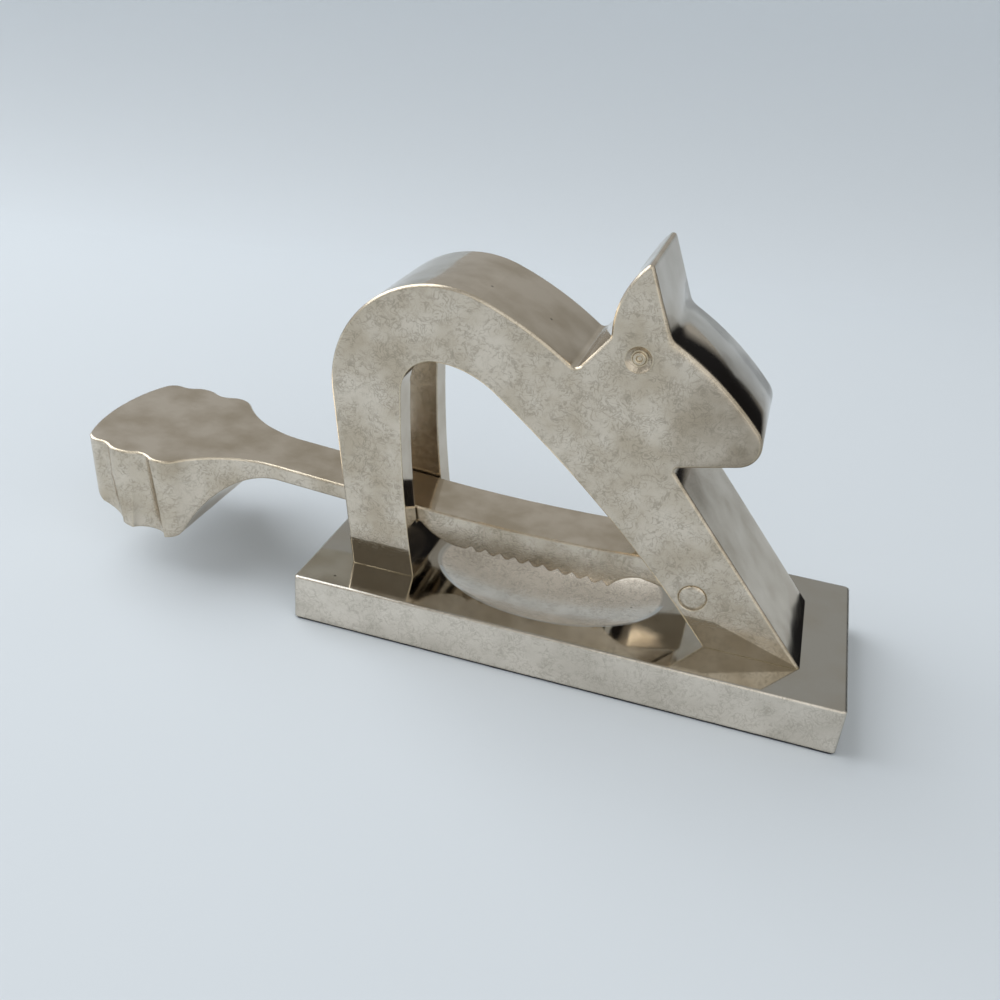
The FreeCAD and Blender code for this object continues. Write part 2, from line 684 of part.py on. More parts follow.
def draw_lever_plan(body, size):
    """Outline that the lever keeps, inside a frame that is cut away.

    It is drawn square to the leaning walls of the tail, with its origin at the tail's far end.
    """
    outline = Outline(
        body, "Plan_View", "XY_Plane", (size.tail_x, 0, tail_top(size)), -size.tail_lean, (0, 1, 0)
    )

    def across(x):
        return (x - size.tail_x) * size.tail_lean.cosine()

    half = size.lever_width / 2
    front = size.pivot_x + size.boss_radius + size.cut_margin
    wide = frame_half(size)
    rectangle(outline, -wide, -wide, across(front + size.cut_margin), wide)
    outline.start(across(front), -half)
    outline.line(across(front), half)
    outline.line(across(size.neck_x), half, smooth=True)
    outline.arc(35.8, 25.2, 34.2, left=True, fixed=False, smooth=True, sized=False)
    third = (across(size.third_lobe_x), size.third_lobe_half - size.third_lobe_radius)
    second = (across(size.second_lobe_x), size.second_lobe_half - size.second_lobe_radius)
    first = (None, size.first_lobe_half - size.first_lobe_radius)
    lobe = {"left": False, "fixed": False, "smooth": True}
    valley = {"left": True, "fixed": False, "smooth": True}
    outline.arc(27.1, 26.8, size.third_lobe_radius, centre=third, **lobe)
    outline.arc(21.6, 26.8, size.valley_radius, **valley)
    outline.arc(12.9, 26.3, size.second_lobe_radius, centre=second, **lobe)
    outline.arc(9.0, 25.3, size.valley_radius, **valley)
    outline.arc(3.6, 22.0, size.first_lobe_radius, centre=first, **lobe)
    outline.arc(3.6, -22.0, size.tail_end_radius, centre=(size.tail_end_radius, 0), **lobe)
    first = (None, -first[1])
    second = (second[0], -second[1])
    third = (third[0], -third[1])
    outline.arc(9.0, -25.3, size.first_lobe_radius, centre=first, **lobe)
    outline.arc(12.9, -26.3, size.valley_radius, **valley)
    outline.arc(21.6, -26.8, size.second_lobe_radius, centre=second, **lobe)
    outline.arc(27.1, -26.8, size.valley_radius, **valley)
    outline.arc(35.8, -25.2, size.third_lobe_radius, centre=third, **lobe)
    outline.arc(across(size.neck_x), -half, 34.2, left=True, smooth=True, sized=False)
    outline.line(across(front), -half)
    return outline.close()


def draw_flute(body, name, size, x):
    """Half section of one leaning flute, wider towards the tail's underside."""
    low = tail_top(size) + size.tail_belly_radius
    outline = Outline(
        body, name, "XZ_Plane", (x, tail_top(size), size.flute_half), size.tail_lean
    )
    slope = (size.flute_bottom_radius - size.flute_top_radius) / (tail_top(size) + size.tail_drop)
    outline.start(0, -low).line(size.flute_top_radius + slope * low, -low)
    outline.line(size.flute_top_radius - slope * size.cut_margin, size.cut_margin)
    outline.line(0, size.cut_margin).line(0, -low)
    return outline.close()


def make_lever(doc, size):
    """Lever with its toothed jaw and the fluted tail that the hand presses."""
    body = new_body(doc, "tail_lever")
    bind(body, "Placement.Base.z", size.felt_thickness + size.base_thickness)
    wide = size.third_lobe_half * 2 + size.cut_margin
    blank = pad(body, "Blank", draw_lever_side(body, size), wide, both_ways=True)
    foot = fillet(
        body, "Haunch_Foot", blank, size.haunch_foot_radius,
        lambda edge: runs_along_y(edge, size.haunch_foot_x, -size.tail_drop),
    )
    trim = pocket(body, "Plan_Trim", draw_lever_plan(body, size), both_ways=True)
    doc.recompute()

    def along_top(edge):
        middle = edge.valueAt((edge.FirstParameter + edge.LastParameter) / 2)
        top = size.bar_height.value + bar_slope(size).value * (size.bar_x.value - middle.x)
        return middle.x < size.bar_x.value - 0.1 and abs(middle.z - top) < 0.01

    bevel(body, "Tail_Top_Edge", trim, size.lever_edge_bevel, along_top)
    flutes = []
    for name, x in (("Inner_Flute", size.inner_flute_x), ("Outer_Flute", size.outer_flute_x)):
        flutes.append(groove(body, name, draw_flute(body, f"{name}_View", size, x)))
    mirror(body, "Far_Flutes", flutes, "XZ_Plane")
    cut = Outline(
        body, "Tooth_View", "XZ_Plane",
        (size.teeth_front_x, size.teeth_front_height, 0), -size.teeth_angle,
    )
    first = -size.tooth_pitch / 2
    cut.start(first - size.tooth_groove / 2, -size.cut_margin)
    cut.line(first - size.tooth_groove / 2, 0).line(first, size.tooth_depth)
    cut.line(first + size.tooth_groove / 2, 0)
    cut.line(first + size.tooth_groove / 2, -size.cut_margin)
    cut.line(first - size.tooth_groove / 2, -size.cut_margin)
    tooth_sketch = cut.close()
    tooth = pocket(body, "Tooth_Groove", tooth_sketch, size.lever_width * 2, both_ways=True)
    doc.recompute()
    teeth = body.newObject("PartDesign::LinearPattern", "Teeth")
    teeth.Originals = [tooth]
    teeth.Direction = (tooth_sketch, ["H_Axis"])
    teeth.Reversed = True
    count = int(size.teeth_length.value // size.tooth_pitch.value)
    bind(teeth, "Length", size.tooth_pitch * (count - 1))
    teeth.Occurrences = count
    body.Tip = teeth
    bore = Outline(body, "Bore_View").circle(
        size.pivot_x, size.pivot_height, size.pin_radius + size.pin_clearance, "bore"
    )
    pocket(body, "Pin_Bore", bore.sketch, size.lever_width * 2, both_ways=True)
    return body


def make_pin(doc, size):
    """Pin through both cheeks of the front leg, bevelled at its ends."""
    body = new_body(doc, "pivot_pin")
    bind(body, "Placement.Base.x", size.pivot_x)
    bind(body, "Placement.Base.z", size.felt_thickness + size.base_thickness + size.pivot_height)
    half = size.casting_width / 2
    end = half + size.pin_stand_out
    outline = Outline(body, "Half_Section", "XY_Plane")
    outline.start(0, -end)
    outline.line(size.pin_face_radius, -end).line(size.pin_radius, -half)
    outline.line(size.pin_radius, half).line(size.pin_face_radius, end)
    outline.line(0, end).line(0, -end)
    turned = body.newObject("PartDesign::Revolution", "Turned_Pin")
    turned.Profile = outline.close()
    turned.ReferenceAxis = (turned.Profile[0], ["V_Axis"])
    turned.Angle = 360
    return body


def make_screws(doc, size):
    """Four countersunk screws that hold the casting to the plate, as one group."""
    screws = []
    for index, (x, y) in enumerate(screw_places(size)):
        head = doc.addObject("Part::Cone", f"Screw_Head{index}")
        bind(head, "Radius1", size.screw_head_radius)
        bind(head, "Radius2", size.screw_radius)
        bind(head, "Height", size.screw_head_height)
        shank = doc.addObject("Part::Cylinder", f"Screw_Shank{index}")
        bind(shank, "Radius", size.screw_radius)
        bind(shank, "Height", size.base_thickness + size.screw_grip)
        slot = doc.addObject("Part::Box", f"Screw_Slot{index}")
        bind(slot, "Length", size.screw_head_radius * 3)
        bind(slot, "Width", size.screw_slot_width)
        bind(slot, "Height", size.screw_slot_depth)
        for piece in (head, shank):
            bind(piece, "Placement.Base.x", x)
            bind(piece, "Placement.Base.y", y)
            bind(piece, "Placement.Base.z", size.felt_thickness)
        bind(slot, "Placement.Base.x", x - size.screw_head_radius * 1.5)
        bind(slot, "Placement.Base.y", y - size.screw_slot_width / 2)
        bind(slot, "Placement.Base.z", size.felt_thickness)
        blank = doc.addObject("Part::Fuse", f"Screw_Blank{index}")
        blank.Base = head
        blank.Tool = shank
        screw = doc.addObject("Part::Cut", f"Screw{index}")
        screw.Base = blank
        screw.Tool = slot
        screws.append(screw)
    group = doc.addObject("Part::Compound", "base_screws")
    group.Label = "base_screws"
    group.Links = screws
    return group


def check(doc, pieces):
    """Stop if any object failed or any sub-part is not a sound solid."""
    for item in doc.Objects:
        if "Invalid" in item.State or "Error" in item.State:
            raise RuntimeError(f"{item.Name} failed: {item.State}")
    for piece in pieces:
        if piece.Shape.isNull() or not piece.Shape.isValid():
            raise RuntimeError(f"{piece.Label} has no sound shape")


def main():
    """Build the document and write one STEP file for each sub-part."""
    doc = FreeCAD.newDocument("nutcracker")
    size = fill_sheet(doc)
    makers = (make_felt, make_base, make_squirrel, make_lever, make_pin, make_screws)
    pieces = [maker(doc, size) for maker in makers]
    doc.recompute()
    check(doc, pieces)
    os.makedirs("parts", exist_ok=True)
    for piece in pieces:
        box = piece.Shape.BoundBox
        print(
            f"{piece.Label}: {len(piece.Shape.Solids)} solids, {piece.Shape.Volume:.0f} mm3, "
            f"x {box.XMin:.2f} to {box.XMax:.2f}, y {box.YMin:.2f} to {box.YMax:.2f}, "
            f"z {box.ZMin:.2f} to {box.ZMax:.2f}"
        )
        piece.Shape.exportStep(f"parts/{piece.Label}.step")


main()
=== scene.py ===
"""Looks for a squirrel-shaped lever nutcracker: polished nickel plate on a felted base."""

import logging
import math
from dataclasses import dataclass
from enum import Enum
from typing import Any

import bmesh
import bpy
from mathutils import Matrix, Vector, noise


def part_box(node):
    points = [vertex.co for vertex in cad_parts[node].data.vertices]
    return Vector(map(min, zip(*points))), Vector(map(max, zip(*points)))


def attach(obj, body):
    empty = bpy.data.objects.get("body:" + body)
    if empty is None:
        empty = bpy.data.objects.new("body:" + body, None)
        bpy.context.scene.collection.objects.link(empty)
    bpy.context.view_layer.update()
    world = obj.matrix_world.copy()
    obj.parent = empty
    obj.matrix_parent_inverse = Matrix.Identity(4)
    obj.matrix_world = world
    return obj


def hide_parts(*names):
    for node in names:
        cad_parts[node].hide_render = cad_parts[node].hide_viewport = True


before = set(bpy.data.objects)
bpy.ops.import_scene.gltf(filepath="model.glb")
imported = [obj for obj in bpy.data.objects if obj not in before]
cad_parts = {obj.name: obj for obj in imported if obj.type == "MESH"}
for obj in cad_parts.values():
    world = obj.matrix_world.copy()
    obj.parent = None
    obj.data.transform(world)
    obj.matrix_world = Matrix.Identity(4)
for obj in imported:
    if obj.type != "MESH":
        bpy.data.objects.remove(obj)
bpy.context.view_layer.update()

LOG = logging.getLogger("nutcracker")
MILLIMETRE = 0.001

Tree = bpy.types.NodeTree
Node = bpy.types.Node
Socket = bpy.types.NodeSocket
Place = tuple[float, float, float]

AXES = "ShaderNodeSeparateXYZ"
GEOMETRY = "ShaderNodeNewGeometry"
MAP_RANGE = "ShaderNodeMapRange"
MATH = "ShaderNodeMath"
MIX = "ShaderNodeMix"
NOISE = "ShaderNodeTexNoise"
VECTOR_MATH = "ShaderNodeVectorMath"

COLOURS = {"data_type": "RGBA"}
NUMBERS = {"data_type": "FLOAT"}
ADD = {"operation": "ADD"}
SUBTRACT = {"operation": "SUBTRACT"}
MULTIPLY = {"operation": "MULTIPLY"}
ABSOLUTE = {"operation": "ABSOLUTE"}
MAXIMUM = {"operation": "MAXIMUM"}
GREATER = {"operation": "GREATER_THAN"}
DOT = {"operation": "DOT_PRODUCT"}
NORMALIZE = {"operation": "NORMALIZE"}


class Body(Enum):
    """The rigid body of the nutcracker that the scene's own pieces ride on."""

    STAND = "stand"


class Slot(Enum):
    """The record's material slots."""

    NICKEL = "nickel_plate"
    STEEL = "screw_steel"
    FELT = "felt"


@dataclass(frozen=True)
class Ramp:
    """A range of one value stretched over a range of another, held at both ends."""

    low: float
    high: float
    out_low: float = 0.0
    out_high: float = 1.0

    def of(
        self, value: Socket | Node, unit: float = 1.0, out_unit: float = 1.0
    ) -> dict[str, Any]:
        """Give the inputs that stretch a value over this ramp.

        Args:
            value: The value that is stretched.
            unit: Unit of the ramp's low and high end.
            out_unit: Unit of what comes out.

        Returns:
            Inputs by name.
        """
        return {
            "Value": value, "From Min": self.low * unit, "From Max": self.high * unit,
            "To Min": self.out_low * out_unit, "To Max": self.out_high * out_unit,
        }


def linear(code: str, alpha: float = 1.0) -> tuple[float, float, float, float]:
    """Turn an sRGB hex value into Blender's linear colour.

    Args:
        code: Six hex digits, with or without a leading hash.
        alpha: Opacity that goes with the colour.

    Returns:
        Linear red, green, blue and alpha.
    """
    digits = code.lstrip("#")
    shares = [int(digits[i : i + 2], 16) / 255 for i in (0, 2, 4)]
    return (*[s / 12.92 if s <= 0.04045 else ((s + 0.055) / 1.055) ** 2.4 for s in shares], alpha)


def scale_of(size: float) -> float:
    """Turn the size of a pattern in millimetres into its texture scale."""
    return 1 / (size * MILLIMETRE)


def add_node(
    tree: Tree,
    kind: str,
    settings: dict[str, Any] | None = None,
    inputs: dict[str | int, Any] | None = None,
) -> Node:
    """Add a node with its settings and its inputs.

    Args:
        tree: Node tree that gets the node.
        kind: Blender's name for the kind of node.
        settings: Attributes of the node.
        inputs: Values for its sockets, or what to link to them: an output socket, or a node,
            which stands for its first output.

    Returns:
        The new node.
    """
    node = tree.nodes.new(kind)
    for name, value in (settings or {}).items():
        setattr(node, name, value)
    for name, value in (inputs or {}).items():
        source = value.outputs[0] if isinstance(value, Node) else value
        if isinstance(source, Socket):
            tree.links.new(source, node.inputs[name])
        else:
            node.inputs[name].default_value = source
    return node


def new_material(name: str) -> tuple[bpy.types.Material, Tree]:
    """Make an empty node material.

    Args:
        name: Name of the material.

    Returns:
        The material and its node tree.
    """
    material = bpy.data.materials.new(name)
    material.use_nodes = True
    material.node_tree.nodes.clear()
    return material, material.node_tree


@dataclass(frozen=True)
class ScratchNet:
    """A net of fine curved scratches: its mesh in millimetres, its bend and its line's width."""

    mesh: float
    bend: float
    width: float


@dataclass(frozen=True)
class PolishedNickelPlate:
    """Nickel electroplate on a cast body, buffed by hand and then used for years.

    Faces that the buffing wheel reaches squarely are mirrors with a slow wave in them. The
    flanks were only linished: they keep a satin with a maze of fine scratches and a cloudy,
    slightly warm film, which breaks up what they reflect. Every edge gets a painted highlight,
    partly the brightness that cloths rub into it and partly the light that a rounded edge catches.

    Sizes, heights and radii are in millimetres. The other ramps are over a pattern's value or
    a part of the surface's direction.
    """

    name: str = "polished nickel plate"
    bright: str = "#DDD2C2"
    linished: str = "#DDD2C2"
    film: str = "#B9AB95"
    scratch: str = "#857C6C"
    # Colour of the painted edge highlight, which is partly wear and partly light.
    worn_edge_and_highlight: str = "#F3E2C0"
    pit: str = "#4E4436"

    # How sharp a mirror is, from bare plate to full film, and how uneven the satin is.
    mirror_roughness: Ramp = Ramp(0.0, 1.0, 0.045, 0.13)
    satin_roughness: Ramp = Ramp(0.3, 0.7, 0.20, 0.27)
    speckle_size: float = 2.4
    speckle_detail: float = 3.0

    # Which faces are satin: flanks by the way they face, the dish by its height.
    facing_sideways: Ramp = Ramp(0.35, 0.75)
    facing_up: Ramp = Ramp(0.2, 0.4)
    under_dish_rim: Ramp = Ramp(15.2, 15.5, 1.0, 0.0)

    # The film and its soft clouds.
    film_share: float = 0.75
    cloud_size: float = 14.0
    cloud_detail: float = 4.0
    cloud_edge: Ramp = Ramp(0.38, 0.66)

    # Two nets of curved scratches and the gaps in them.
    scratch_share: float = 0.50
    fine_net: ScratchNet = ScratchNet(3.4, 1.2, 0.042)
    coarse_net: ScratchNet = ScratchNet(5.78, 2.2, 0.024)
    scratch_detail: float = 2.5
    scratch_roughness: float = 0.6
    scratch_level: float = 0.5
    gap_size: float = 5.1
    gap_detail: float = 2.0
    gap_edge: Ramp = Ramp(0.34, 0.52)

    # A few pits, and the painted highlight on the edges, partly wear and partly light.
    pit_spacing: float = 9.0
    pit_edge: Ramp = Ramp(0.03, 0.06, 1.0, 0.0)
    pit_rarity: float = 0.72

    edge_radius: float = 0.8
    edge_samples: int = 4
    edge_wear_and_highlight: Ramp = Ramp(0.80, 0.97, 0.8, 0.0)

    # The buffing wave, hairlines that run three ways, and how deep all lines are.
    wave_size: float = 22.0
    wave_detail: float = 1.0
    wave_height: float = 0.10
    hairline_length: float = 7.0
    hairline_width: float = 0.35
    hairline_edge: Ramp = Ramp(0.64, 0.72, 0.0, 0.25)
    hairline_turns: tuple[Place, ...] = ((0.3, 0.5, 0.2), (1.1, -0.4, 0.9), (-0.7, 0.9, -1.2))
    line_strength: float = 0.16
    line_depth: float = 0.05

    def build(self) -> bpy.types.Material:
        """Build the node material.

        Returns:
            The finished material.
        """
        material, tree = new_material(self.name)
        place = add_node(tree, "ShaderNodeTexCoord").outputs["Object"]
        satin = self.satin_faces(tree, place)
        film = self.clouds(tree, place)
        scratches = add_node(tree, MATH, MULTIPLY, {0: self.scratches(tree, place), 1: satin})
        tint = self.filmed(tree, satin, film)
        tint, rough = self.darkened(tree, place, satin, tint)
        tint = self.scratched(tree, scratches, tint)
        tint = self.pitted(tree, place, tint)
        tint = self.highlight_worn_edges(tree, tint)
        shader = add_node(
            tree, "ShaderNodeBsdfPrincipled",
            inputs={
                "Base Color": tint, "Metallic": 1.0,
                "Roughness": self.roughness(tree, place, rough, film),
                "Normal": self.relief(tree, place, scratches),
            },
        )
        add_node(tree, "ShaderNodeOutputMaterial", inputs={"Surface": shader})
        return material

    def satin_faces(self, tree: Tree, place: Socket) -> Node:
        """Tell the satin faces from the mirrors.

        The linished flanks face along Y. The nut dish faces up, from under the base's top.

        Args:
            tree: Tree of the material.
            place: Place on the object.

        Returns:
            A node whose value is 1 on satin and 0 on a mirror.
        """
        normal = add_node(tree, GEOMETRY).outputs["Normal"]
        facing = add_node(tree, AXES, inputs={"Vector": normal}).outputs
        height = add_node(tree, AXES, inputs={"Vector": place}).outputs["Z"]
        sideways = add_node(tree, MATH, ABSOLUTE, {0: facing["Y"]})
        flank = add_node(tree, MAP_RANGE, inputs=self.facing_sideways.of(sideways))
        upward = add_node(tree, MAP_RANGE, inputs=self.facing_up.of(facing["Z"]))
        sunk = add_node(tree, MAP_RANGE, inputs=self.under_dish_rim.of(height, MILLIMETRE))
        dish = add_node(tree, MATH, MULTIPLY, {0: sunk, 1: upward})
        return add_node(tree, MATH, MAXIMUM, {0: flank, 1: dish})

    def clouds(self, tree: Tree, place: Socket) -> Node:
        """Spread the film in soft clouds.

        Args:
            tree: Tree of the material.
            place: Place on the object.

        Returns:
            A node whose value is the share of film.
        """
        cloud = add_node(
            tree, NOISE,
            inputs={"Vector": place, "Scale": scale_of(self.cloud_size),
                    "Detail": self.cloud_detail},
        )
        return add_node(tree, MAP_RANGE, inputs=self.cloud_edge.of(cloud))

    def filmed(self, tree: Tree, satin: Node, film: Node) -> Socket:
        """Give the plate its own colours and the film over them.

        Args:
            tree: Tree of the material.
            satin: Share of satin.
            film: Share of film.

        Returns:
            The colour so far.
        """
        plate = add_node(
            tree, MIX, COLOURS,
            {"Factor": satin, "A": linear(self.bright), "B": linear(self.linished)},
        ).outputs["Result"]
        share = add_node(tree, MATH, MULTIPLY, {0: film, 1: self.film_share})
        return add_node(
            tree, MIX, COLOURS, {"Factor": share, "A": plate, "B": linear(self.film)}
        ).outputs["Result"]

    def darkened(
        self, tree: Tree, place: Socket, satin: Node, tint: Socket
    ) -> tuple[Socket, Node]:
        """Leave the colour and the satin as they are: no darker patches, painted shade or painted
        reflection.
        """
        return tint, satin

    def scratches(self, tree: Tree, place: Socket) -> Node:
        """Lay two nets of scratches over each other and break them up.

        The real ones are finer: they are drawn a tenth of a millimetre wide, to show at all.

        Args:
            tree: Tree of the material.
            place: Place on the object.

        Returns:
            A node whose value is 1 on a scratch.
        """
        fine = self.net_lines(tree, place, self.fine_net)
        coarse = self.net_lines(tree, place, self.coarse_net)
        lines = add_node(tree, MATH, MAXIMUM, {0: fine, 1: coarse})
        patches = add_node(
            tree, NOISE,
            inputs={"Vector": place, "Scale": scale_of(self.gap_size),
                    "Detail": self.gap_detail},
        )
        gaps = add_node(tree, MAP_RANGE, inputs=self.gap_edge.of(patches))
        return add_node(tree, MATH, MULTIPLY, {0: lines, 1: gaps})

    def net_lines(self, tree: Tree, place: Socket, net: ScratchNet) -> Node:
        """Draw one net of scratches as thin contour lines of a bent pattern.

        Args:
            tree: Tree of the material.
            place: Place on the object.
            net: The net that is drawn.

        Returns:
            A node whose value is 1 in the middle of a line.
        """
        bent = add_node(
            tree, NOISE,
            inputs={"Vector": place, "Scale": scale_of(net.mesh), "Detail": self.scratch_detail,
                    "Roughness": self.scratch_roughness, "Distortion": net.bend},
        )
        away = add_node(tree, MATH, SUBTRACT, {0: bent, 1: self.scratch_level})
        apart = add_node(tree, MATH, ABSOLUTE, {0: away})
        return add_node(tree, MAP_RANGE, inputs=Ramp(0.0, net.width, 1.0, 0.0).of(apart))

    def scratched(self, tree: Tree, scratches: Node, tint: Socket) -> Socket:
        """Darken the scratches.

        Args:
            tree: Tree of the material.
            scratches: Share of the scratches.
            tint: The colour so far.

        Returns:
            The colour with the scratches in it.
        """
        share = add_node(tree, MATH, MULTIPLY, {0: scratches, 1: self.scratch_share})
        return add_node(
            tree, MIX, COLOURS, {"Factor": share, "A": tint, "B": linear(self.scratch)}
        ).outputs["Result"]

    def pitted(self, tree: Tree, place: Socket, tint: Socket) -> Socket:
        """Darken a few pin-head pits in the plating.

        Args:
            tree: Tree of the material.
            place: Place on the object.
            tint: The colour so far.

        Returns:
            The colour with the pits in it.
        """
        cells = add_node(
            tree, "ShaderNodeTexVoronoi",
            inputs={"Vector": place, "Scale": scale_of(self.pit_spacing), "Randomness": 1.0},
        ).outputs
        chance = add_node(tree, "ShaderNodeSeparateColor", inputs={"Color": cells["Color"]})
        dot = add_node(tree, MAP_RANGE, inputs=self.pit_edge.of(cells["Distance"]))
        chosen = add_node(tree, MATH, GREATER, {0: chance, 1: self.pit_rarity})
        share = add_node(tree, MATH, MULTIPLY, {0: dot, 1: chosen})
        return add_node(
            tree, MIX, COLOURS, {"Factor": share, "A": tint, "B": linear(self.pit)}
        ).outputs["Result"]

    def highlight_worn_edges(self, tree: Tree, tint: Socket) -> Socket:
        """Paint a highlight on the edges where the surface turns, part wear and part light.

        Args:
            tree: Tree of the material.
            tint: The colour so far.

        Returns:
            The colour with the painted edge highlight.
        """
        turned = add_node(
            tree, "ShaderNodeBevel", {"samples": self.edge_samples},
            {"Radius": self.edge_radius * MILLIMETRE},
        )
        plain = add_node(tree, GEOMETRY).outputs["Normal"]
        likeness = add_node(tree, VECTOR_MATH, DOT, {0: turned, 1: plain}).outputs["Value"]
        share = add_node(tree, MAP_RANGE, inputs=self.edge_wear_and_highlight.of(likeness))
        return add_node(
            tree, MIX, COLOURS, {"Factor": share, "A": tint, "B": linear(self.worn_edge_and_highlight)}
        ).outputs["Result"]

    def roughness(self, tree: Tree, place: Socket, satin: Node, film: Node) -> Socket:
        """Make the mirrors hazy where the film is, and the satin uneven.

        Args:
            tree: Tree of the material.
            place: Place on the object.
            satin: Share of satin.
            film: Share of film.

        Returns:
            The roughness.
        """
        speckle = add_node(
            tree, NOISE,
            inputs={"Vector": place, "Scale": scale_of(self.speckle_size),
                    "Detail": self.speckle_detail},
        )
        mirror = add_node(tree, MAP_RANGE, inputs=self.mirror_roughness.of(film))
        rubbed = add_node(tree, MAP_RANGE, inputs=self.satin_roughness.of(speckle))
        return add_node(
            tree, MIX, NUMBERS, {"Factor": satin, "A": mirror, "B": rubbed}
        ).outputs["Result"]

    def rounded(self, tree: Tree, place: Socket) -> Node:
        """Round every edge a little."""
        return add_node(
            tree, "ShaderNodeBevel", {"samples": self.edge_samples},
            {"Radius": self.edge_radius * MILLIMETRE},
        )

    def relief(self, tree: Tree, place: Socket, scratches: Node) -> Node:
        """Add the wave that hand buffing leaves, the scratches and crossing hairlines.

        Real hairlines are a few hundredths of a millimetre wide. They are drawn as wide as they
        need to be to show in the render.

        Args:
            tree: Tree of the material.
            place: Place on the object.
            scratches: Share of the scratches.

        Returns:
            A node whose value is the surface's direction.
        """
        swell = add_node(
            tree, NOISE,
            inputs={"Vector": place, "Scale": scale_of(self.wave_size),
                    "Detail": self.wave_detail},
        )
        wave = add_node(
            tree, "ShaderNodeBump",
            inputs={"Height": swell, "Strength": 1.0,
                    "Distance": self.wave_height * MILLIMETRE,
                    "Normal": self.rounded(tree, place)},
        )
        lines = scratches
        for turn in self.hairline_turns:
            hairlines = self.hairlines(tree, place, turn)
            lines = add_node(tree, MATH, ADD, {0: lines, 1: hairlines})
        return add_node(
            tree, "ShaderNodeBump",
            inputs={"Height": lines, "Strength": self.line_strength,
                    "Distance": self.line_depth * MILLIMETRE, "Normal": wave},
        )

    def hairlines(self, tree: Tree, place: Socket, turn: Place) -> Node:
        """Draw hairlines that run one way.

        Args:
            tree: Tree of the material.
            place: Place on the object.
            turn: How they are turned.

        Returns:
            A node whose value is the hairlines' height.
        """
        across = scale_of(self.hairline_width)
        turned = add_node(
            tree, "ShaderNodeMapping",
            inputs={"Vector": place, "Rotation": turn,
                    "Scale": (scale_of(self.hairline_length), across, across)},
        )
        stretched = add_node(tree, NOISE, inputs={"Vector": turned, "Scale": 1.0, "Detail": 1.0})
        return add_node(tree, MAP_RANGE, inputs=self.hairline_edge.of(stretched))


@dataclass(frozen=True)
class ShadedAndLitBaseNickelPlate(PolishedNickelPlate):
    """The same plate on the base, whose sides were ground flat and took the least film.

    Its mirror top is painted darker than the plate elsewhere, as painted shade, and its sides
    and dish lighter, as painted light.
    """

    name: str = "polished nickel plate, base with painted shade and light"
    # Mirror top painted darker than the plate elsewhere: painted shade.
    bright: str = "#BEBBB4"
    # Sides and dish painted lighter than the plate elsewhere: painted light.
    linished: str = "#E9E0D3"
    film: str = "#B4AB9C"
    mirror_roughness: Ramp = Ramp(0.0, 1.0, 0.055, 0.13)
    film_share: float = 0.35
    scratch_share: float = 0.35


